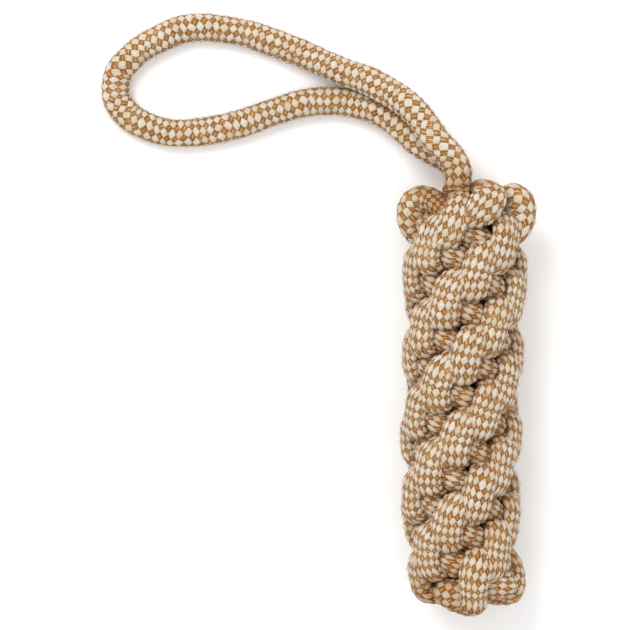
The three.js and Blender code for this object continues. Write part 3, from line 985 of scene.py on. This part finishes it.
# Painted shade: deep inside the knot the colour is made darker and browner, since light that reaches
# the inside of the knot has been coloured by the rope on its way
spot = tree.nodes.new("ShaderNodeTexCoord")
at = tree.nodes.new("ShaderNodeSeparateXYZ")
tree.links.new(spot.outputs["Object"], at.inputs[0])
off_x = calc(tree, "SUBTRACT", at.outputs[0], STICK_TOP[0])
off_z = calc(tree, "SUBTRACT", at.outputs[2], STICK_TOP[2])
from_axis = calc(tree, "SQRT", calc(tree, "ADD", product(off_x, off_x), product(off_z, off_z)))
inside = ramped(tree, from_axis, *DEEP_INSIDE)
inside = product(inside, ramped(tree, at.outputs[1], *IN_THE_STICK))
shaded = blended(tree, 1.0, colour, INSIDE_SHADE, "MULTIPLY")
colour = blended(tree, inside, colour, shaded)
tree.links.new(colour, shader.inputs["Base Color"])

cream_skin = calc(tree, "SUBTRACT", cream_streaks, cream_line)
tan_skin = calc(tree, "SUBTRACT", tan_streaks, product(tan_line, TAN_LINE_BUMP))
cream_skin = product(cream_skin, is_cream)
tan_skin = product(tan_skin, calc(tree, "SUBTRACT", 1.0, is_cream))
bump = tree.nodes.new("ShaderNodeBump")
bump.inputs["Strength"].default_value = BUMP_STRENGTH
bump.inputs["Distance"].default_value = BUMP_DEPTH
tree.links.new(calc(tree, "ADD", cream_skin, tan_skin), bump.inputs["Height"])
tree.links.new(bump.outputs[0], shader.inputs["Normal"])
tree.links.new(ramped(tree, cream_streaks, *ROUGH), shader.inputs["Roughness"])
shader.inputs["Sheen Weight"].default_value = 0.04
shader.inputs["Sheen Roughness"].default_value = 0.6
shader.inputs["Specular IOR Level"].default_value = 0.08
for rope in (handle_rope, *(strand for strand, _, _ in strands)):
    rope.data.materials.append(cotton)
print("braided_cotton has", len(tree.nodes), "nodes")

# %% [markdown]
# ## Loose fibres
# Cotton rope is never clean: short fibres stand out all over and catch the light along its
# edges. Hair particles would vanish from a saved model, so each fibre is a very thin bent
# three-sided tube of its own, rooted on the surface. They all come from one fixed seed.

# %% Grow the fibres
FIBRE_RADIUS = 0.00006
FIBRE_BENDS = 2
FIBRE_SHORT, FIBRE_LONG = 0.0005, 0.0024
FIBRES_PER_METRE = 18000
OUTER_SHARE = 1.7
FIBRE_LEAN, FIBRE_CURL, FIBRE_DROOP = 0.8, 0.35, 0.2
LEAST_RISE, MOST_RISE, RISE_POWER = 0.05, 0.9, 1.5
FIBRE_TAPER = 0.7
FIBRE_SIDES = 3
FIBRE_SEED = 12
seeded = np.random.default_rng(FIBRE_SEED)


def fibres(name, skin, out, count):
    """Thin fibres rooted on a rope's skin, where it isn't hidden inside the knot."""
    ring = seeded.integers(2, len(skin) - 3, count)
    spot = seeded.integers(0, POINTS_ROUND, count)
    off = skin[ring, spot] - STICK_TOP
    near_axis = np.hypot(off[:, 0], off[:, 2]) < OUTER_SHARE * ROPE
    seen = ~near_axis | (skin[ring, spot, 1] > PIVOT[1])
    ring, spot, count = ring[seen], spot[seen], int(seen.sum())
    root, normal = skin[ring, spot], out[ring, spot]
    forward = unit(skin[ring + 1, spot] - skin[ring, spot])
    side = np.cross(normal, forward)
    lean = seeded.normal(0, FIBRE_LEAN, (count, 2))
    rise = seeded.uniform(LEAST_RISE, MOST_RISE, (count, 1)) ** RISE_POWER
    way = unit(normal * rise + forward * lean[:, :1] + side * lean[:, 1:])
    length = FIBRE_SHORT + (FIBRE_LONG - FIBRE_SHORT) * seeded.random((count, 1)) ** 2
    bend = seeded.normal(0, FIBRE_CURL, (count, 3)) - normal * FIBRE_DROOP
    part = np.linspace(0, 1, FIBRE_BENDS + 1)
    line = root[:, None] + way[:, None] * length[:, None] * part[None, :, None]
    line = line + bend[:, None] * length[:, None] * part[None, :, None] ** 2
    line[..., 2] = np.maximum(line[..., 2], FIBRE_RADIUS)
    across = unit(np.cross(way, seeded.normal(size=(count, 3))))
    third = np.cross(way, across)
    turns = (np.arange(FIBRE_SIDES) * 2 * math.pi / FIBRE_SIDES)[None, :, None]
    rim = across[:, None] * np.cos(turns) + third[:, None] * np.sin(turns)
    thin = (1 - FIBRE_TAPER * part)[None, :, None, None] * FIBRE_RADIUS
    points = (line[:, :, None] + rim[:, None] * thin).reshape(-1, 3)
    each = FIBRE_SIDES * (FIBRE_BENDS + 1)
    faces = []
    for k in range(FIBRE_BENDS):
        for s in range(FIBRE_SIDES):
            low, high = FIBRE_SIDES * k + s, FIBRE_SIDES * k + (s + 1) % FIBRE_SIDES
            faces.append((low, high, high + FIBRE_SIDES, low + FIBRE_SIDES))
    faces = (np.array(faces)[None] + (np.arange(count) * each)[:, None, None]).reshape(-1, 4)
    mesh = bpy.data.meshes.new(name)
    mesh.from_pydata(points.tolist(), [], faces.tolist())
    mesh.update()
    fuzz = bpy.data.objects.new(name, mesh)
    bpy.context.collection.objects.link(fuzz)
    return fuzz


handle_count = round(handle_length * FIBRES_PER_METRE)
handle_fibres = fibres("handle_fibres", handle_skin, handle_out, handle_count)
stick_fibres = []
for strand, skin, out in strands:
    count = round(len(skin) * RING_STEP * FIBRES_PER_METRE)
    fuzz = fibres(strand.name + "_fibres", skin, out, count)
    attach(fuzz, "stick")
    stick_fibres.append(fuzz)
faces_each = FIBRE_SIDES * FIBRE_BENDS
print("fibres:", sum(len(f.data.polygons) for f in (handle_fibres, *stick_fibres)) // faces_each)

# %% Make the material of the fibres
fibre_cotton = bpy.data.materials.new("loose_cotton_fibre")
fibre_cotton.use_nodes = True
tree = fibre_cotton.node_tree
shader = tree.nodes["Principled BSDF"]
place = tree.nodes.new("ShaderNodeTexCoord")
FIBRE_HUE_SCALE = 900.0
hue = speckle(tree, place.outputs["Object"], FIBRE_HUE_SCALE)
PALE_FIBRE = (0.66, 0.56, 0.42, 1.0)
BROWN_FIBRE = (0.40, 0.24, 0.10, 1.0)
PALE_TO_BROWN = (0.42, 0.58)
fibre_colour = blended(tree, ramped(tree, hue, *PALE_TO_BROWN), PALE_FIBRE, BROWN_FIBRE)
tree.links.new(fibre_colour, shader.inputs["Base Color"])
shader.inputs["Roughness"].default_value = 0.8
for fuzz in (handle_fibres, *stick_fibres):
    fuzz.data.materials.append(fibre_cotton)

# %% [markdown]
# ## The handle's place
# The handle turns about the point between its two legs. Here its rope and its fibres only
# have their placing baked into their points.

# %% Bake the placing of the handle's rope and fibres
for piece in (handle_rope, handle_fibres):
    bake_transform(piece)

print("points of its way", len(handle_line[::ROWS_PER_CELL]))

# %% [markdown]
# ## Floor and light
# The photograph is a cut-out on white, lit softly from all round. A pale floor and a bright
# even sky come close to it, and a large lamp from the upper left gives the cells their form.

# %% Lay the floor
FLOOR_HALF = 3.0
PAPER_GRAIN = 40.0
PAPER_DIM = (0.93, 0.93, 0.93, 1.0)
PAPER_BRIGHT = (0.95, 0.95, 0.95, 1.0)
floor_mesh = bpy.data.meshes.new("floor")
corners = [(-FLOOR_HALF, -FLOOR_HALF, 0), (FLOOR_HALF, -FLOOR_HALF, 0)]
corners += [(FLOOR_HALF, FLOOR_HALF, 0), (-FLOOR_HALF, FLOOR_HALF, 0)]
floor_mesh.from_pydata(corners, [], [(0, 1, 2, 3)])
floor = bpy.data.objects.new("floor", floor_mesh)
bpy.context.collection.objects.link(floor)
paper = bpy.data.materials.new("white_paper")
paper.use_nodes = True
tree = paper.node_tree
shader = tree.nodes["Principled BSDF"]
place = tree.nodes.new("ShaderNodeTexCoord")
grain = speckle(tree, place.outputs["Object"], PAPER_GRAIN)
paper_colour = blended(tree, grain, PAPER_DIM, PAPER_BRIGHT)
tree.links.new(paper_colour, shader.inputs["Base Color"])
shader.inputs["Roughness"].default_value = 0.95
shader.inputs["Specular IOR Level"].default_value = 0.0
floor.data.materials.append(paper)

# %% Set the light
SKY_STRENGTH = 0.92
# name, place, size and power
LAMPS = [
    ("key_lamp", (-0.7, 1.1, 1.7), 1.1, 24.0),
    ("fill_lamp", (0.7, -0.3, 1.9), 1.0, 7.0),
]


def lamp(name, place, size, power):
    """A square soft lamp that points at the toy."""
    data = bpy.data.lights.new(name, "AREA")
    data.size = size
    data.energy = power
    light = bpy.data.objects.new(name, data)
    bpy.context.collection.objects.link(light)
    light.location = place
    aim = Vector((0, 0, 0)) - Vector(place)
    light.rotation_euler = aim.to_track_quat("-Z", "Y").to_euler()
    return light


for settings in LAMPS:
    lamp(*settings)
world = bpy.data.worlds.new("studio")
bpy.context.scene.world = world
world.use_nodes = True
sky = world.node_tree.nodes["Background"]
sky.inputs["Color"].default_value = (1.0, 1.0, 1.0, 1.0)
sky.inputs["Strength"].default_value = SKY_STRENGTH
bpy.context.scene.view_settings.view_transform = "Standard"
